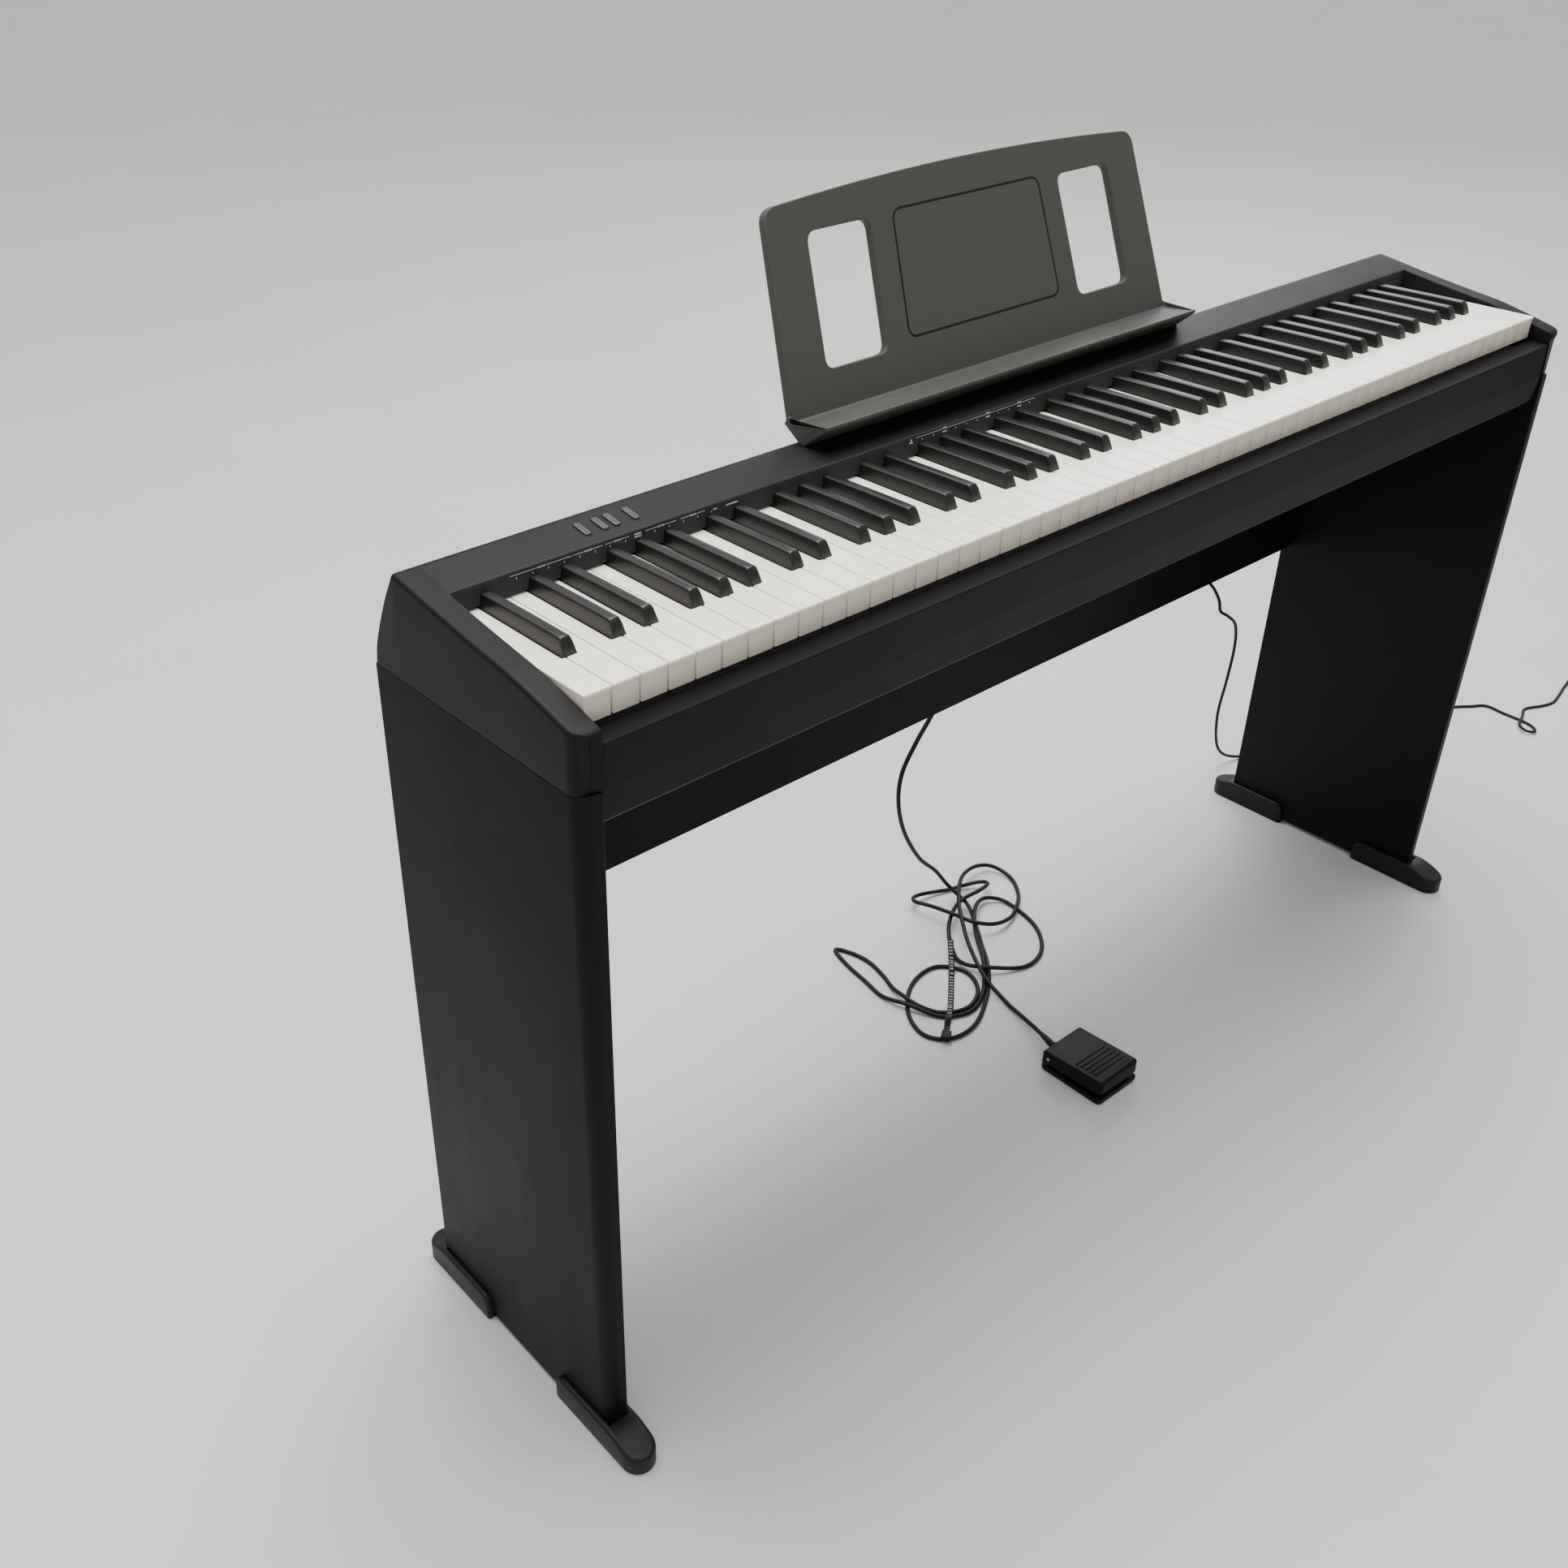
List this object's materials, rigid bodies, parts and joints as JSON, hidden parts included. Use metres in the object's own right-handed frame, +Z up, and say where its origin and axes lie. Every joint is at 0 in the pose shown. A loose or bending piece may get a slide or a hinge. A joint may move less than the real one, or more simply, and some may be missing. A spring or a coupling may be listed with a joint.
{
  "type": "digital piano",
  "caption": "Slim full-width digital piano on a fixed board stand, with a lift-off music rest, rocking keys, a foot switch on a looped lead and a mains adapter.",
  "frame": {"origin": "on the floor under the middle of the piano, stand and music rest, without the leads", "axes": "+X to the treble end (the player's right), +Y away from the player, +Z up"},
  "size_m": [2.0748, 0.3998, 0.9074],
  "materials": {
    "key_white": "satin moulded, faint grain",
    "key_black": "fine matt texture",
    "case": "fine satin texture",
    "board": "particle board with a satin black foil",
    "foot": "satin moulded",
    "button": "satin moulded",
    "circuit": "lacquered laminate",
    "chassis": "grey primed sheet",
    "steel": "zinc plated",
    "felt": "pressed felt",
    "speaker": "coated paper and pressed frame",
    "rest": "satin moulded",
    "rubber": "dull",
    "cord": "dull flexible sheath",
    "tie": "ribbed nylon",
    "pedal": "satin moulded",
    "socket": "smooth moulded"
  },
  "bodies": {
    "piano": {"back_board": "board", "bracket_left": "steel", "bracket_right": "steel", "button_board": "circuit", "cord_tie": "tie", "dc_cord": "cord", "dc_plug": "socket", "dc_socket": "socket", "front_foot_left": "foot", "front_foot_right": "foot", "front_rail": "case", "key_chassis": "chassis", "key_stop_felt": "felt", "lower_case": "case", "main_board": "circuit", "mains_adapter": "socket", "pedal_base": "pedal", "pedal_cord": "cord", "pedal_pin": "steel", "pedal_plug": "socket", "pedal_socket": "socket", "pedal_sole": "rubber", "phones_socket": "socket", "rear_foot_left": "foot", "rear_foot_right": "foot", "side_board_left": "board", "side_board_right": "board", "speaker_left": "speaker", "speaker_right": "speaker", "upper_case": "case", "usb_socket": "socket"},
    "white_key_c": {"white_key_c": "key_white"},
    "white_key_d": {"white_key_d": "key_white"},
    "white_key_e": {"white_key_e": "key_white"},
    "white_key_f": {"white_key_f": "key_white"},
    "white_key_g": {"white_key_g": "key_white"},
    "white_key_a": {"white_key_a": "key_white"},
    "white_key_b": {"white_key_b": "key_white"},
    "black_key_c_sharp": {"black_key_c_sharp": "key_black"},
    "black_key_d_sharp": {"black_key_d_sharp": "key_black"},
    "black_key_f_sharp": {"black_key_f_sharp": "key_black"},
    "black_key_g_sharp": {"black_key_g_sharp": "key_black"},
    "black_key_a_sharp": {"black_key_a_sharp": "key_black"},
    "white_keys_bass_low": {"white_keys_bass_low": "key_white"},
    "black_keys_bass_low": {"black_keys_bass_low": "key_black"},
    "white_keys_bass_high": {"white_keys_bass_high": "key_white"},
    "black_keys_bass_high": {"black_keys_bass_high": "key_black"},
    "white_keys_treble_low": {"white_keys_treble_low": "key_white"},
    "black_keys_treble_low": {"black_keys_treble_low": "key_black"},
    "white_keys_treble_high": {"white_keys_treble_high": "key_white"},
    "black_keys_treble_high": {"black_keys_treble_high": "key_black"},
    "power_button": {"power_button": "button"},
    "volume_down_button": {"volume_down_button": "button"},
    "volume_up_button": {"volume_up_button": "button"},
    "function_button": {"function_button": "button"},
    "music_rest": {"music_rest": "rest"},
    "pedal_treadle": {"pedal_treadle": "pedal"}
  },
  "joints": [
    {"name": "white_key_c_press", "type": "hinge", "parent": "piano", "child": "white_key_c", "pos_m": [0, 0.0954, 0.687], "axis": [1, 0, 0], "range_deg": [0, 2.9], "stiffness_Nm_per_rad": 2.5, "springref_deg": -5.73},
    {"name": "white_key_d_press", "type": "hinge", "parent": "piano", "child": "white_key_d", "pos_m": [0, 0.0954, 0.687], "axis": [1, 0, 0], "range_deg": [0, 2.9], "stiffness_Nm_per_rad": 2.5, "springref_deg": -5.73},
    {"name": "white_key_e_press", "type": "hinge", "parent": "piano", "child": "white_key_e", "pos_m": [0, 0.0954, 0.687], "axis": [1, 0, 0], "range_deg": [0, 2.9], "stiffness_Nm_per_rad": 2.5, "springref_deg": -5.73},
    {"name": "white_key_f_press", "type": "hinge", "parent": "piano", "child": "white_key_f", "pos_m": [0, 0.0954, 0.687], "axis": [1, 0, 0], "range_deg": [0, 2.9], "stiffness_Nm_per_rad": 2.5, "springref_deg": -5.73},
    {"name": "white_key_g_press", "type": "hinge", "parent": "piano", "child": "white_key_g", "pos_m": [0, 0.0954, 0.687], "axis": [1, 0, 0], "range_deg": [0, 2.9], "stiffness_Nm_per_rad": 2.5, "springref_deg": -5.73},
    {"name": "white_key_a_press", "type": "hinge", "parent": "piano", "child": "white_key_a", "pos_m": [0, 0.0954, 0.687], "axis": [1, 0, 0], "range_deg": [0, 2.9], "stiffness_Nm_per_rad": 2.5, "springref_deg": -5.73},
    {"name": "white_key_b_press", "type": "hinge", "parent": "piano", "child": "white_key_b", "pos_m": [0, 0.0954, 0.687], "axis": [1, 0, 0], "range_deg": [0, 2.9], "stiffness_Nm_per_rad": 2.5, "springref_deg": -5.73},
    {"name": "black_key_c_sharp_press", "type": "hinge", "parent": "piano", "child": "black_key_c_sharp", "pos_m": [0, 0.0954, 0.687], "axis": [1, 0, 0], "range_deg": [0, 3], "stiffness_Nm_per_rad": 1.5, "springref_deg": -5.73},
    {"name": "black_key_d_sharp_press", "type": "hinge", "parent": "piano", "child": "black_key_d_sharp", "pos_m": [0, 0.0954, 0.687], "axis": [1, 0, 0], "range_deg": [0, 3], "stiffness_Nm_per_rad": 1.5, "springref_deg": -5.73},
    {"name": "black_key_f_sharp_press", "type": "hinge", "parent": "piano", "child": "black_key_f_sharp", "pos_m": [0, 0.0954, 0.687], "axis": [1, 0, 0], "range_deg": [0, 3], "stiffness_Nm_per_rad": 1.5, "springref_deg": -5.73},
    {"name": "black_key_g_sharp_press", "type": "hinge", "parent": "piano", "child": "black_key_g_sharp", "pos_m": [0, 0.0954, 0.687], "axis": [1, 0, 0], "range_deg": [0, 3], "stiffness_Nm_per_rad": 1.5, "springref_deg": -5.73},
    {"name": "black_key_a_sharp_press", "type": "hinge", "parent": "piano", "child": "black_key_a_sharp", "pos_m": [0, 0.0954, 0.687], "axis": [1, 0, 0], "range_deg": [0, 3], "stiffness_Nm_per_rad": 1.5, "springref_deg": -5.73},
    {"name": "white_keys_bass_low_press", "type": "hinge", "parent": "piano", "child": "white_keys_bass_low", "pos_m": [0, 0.0954, 0.687], "axis": [1, 0, 0], "range_deg": [0, 2.9], "stiffness_Nm_per_rad": 22.5, "springref_deg": -5.73},
    {"name": "black_keys_bass_low_press", "type": "hinge", "parent": "piano", "child": "black_keys_bass_low", "pos_m": [0, 0.0954, 0.687], "axis": [1, 0, 0], "range_deg": [0, 3], "stiffness_Nm_per_rad": 9, "springref_deg": -5.73},
    {"name": "white_keys_bass_high_press", "type": "hinge", "parent": "piano", "child": "white_keys_bass_high", "pos_m": [0, 0.0954, 0.687], "axis": [1, 0, 0], "range_deg": [0, 2.9], "stiffness_Nm_per_rad": 35, "springref_deg": -5.73},
    {"name": "black_keys_bass_high_press", "type": "hinge", "parent": "piano", "child": "black_keys_bass_high", "pos_m": [0, 0.0954, 0.687], "axis": [1, 0, 0], "range_deg": [0, 3], "stiffness_Nm_per_rad": 15, "springref_deg": -5.73},
    {"name": "white_keys_treble_low_press", "type": "hinge", "parent": "piano", "child": "white_keys_treble_low", "pos_m": [0, 0.0954, 0.687], "axis": [1, 0, 0], "range_deg": [0, 2.9], "stiffness_Nm_per_rad": 35, "springref_deg": -5.73},
    {"name": "black_keys_treble_low_press", "type": "hinge", "parent": "piano", "child": "black_keys_treble_low", "pos_m": [0, 0.0954, 0.687], "axis": [1, 0, 0], "range_deg": [0, 3], "stiffness_Nm_per_rad": 15, "springref_deg": -5.73},
    {"name": "white_keys_treble_high_press", "type": "hinge", "parent": "piano", "child": "white_keys_treble_high", "pos_m": [0, 0.0954, 0.687], "axis": [1, 0, 0], "range_deg": [0, 2.9], "stiffness_Nm_per_rad": 20, "springref_deg": -5.73},
    {"name": "black_keys_treble_high_press", "type": "hinge", "parent": "piano", "child": "black_keys_treble_high", "pos_m": [0, 0.0954, 0.687], "axis": [1, 0, 0], "range_deg": [0, 3], "stiffness_Nm_per_rad": 7.5, "springref_deg": -5.73},
    {"name": "power_press", "type": "slide", "parent": "piano", "child": "power_button", "axis": [0, 0, -1], "range_m": [0, 0.001], "stiffness_N_per_m": 200, "springref_m": -0.002},
    {"name": "volume_down_press", "type": "slide", "parent": "piano", "child": "volume_down_button", "axis": [0, 0, -1], "range_m": [0, 0.001], "stiffness_N_per_m": 200, "springref_m": -0.002},
    {"name": "volume_up_press", "type": "slide", "parent": "piano", "child": "volume_up_button", "axis": [0, 0, -1], "range_m": [0, 0.001], "stiffness_N_per_m": 200, "springref_m": -0.002},
    {"name": "function_press", "type": "slide", "parent": "piano", "child": "function_button", "axis": [0, 0, -1], "range_m": [0, 0.001], "stiffness_N_per_m": 200, "springref_m": -0.002},
    {"name": "music_rest_lift", "type": "slide", "parent": "piano", "child": "music_rest", "axis": [0, 0, 1], "range_m": [0, 0.04]},
    {"name": "treadle_press", "type": "hinge", "parent": "piano", "child": "pedal_treadle", "pos_m": [0.035, -0.062, 0.017], "axis": [1, 0, 0], "range_deg": [0, 4.2], "stiffness_Nm_per_rad": 6, "springref_deg": -6.88}
  ]
}
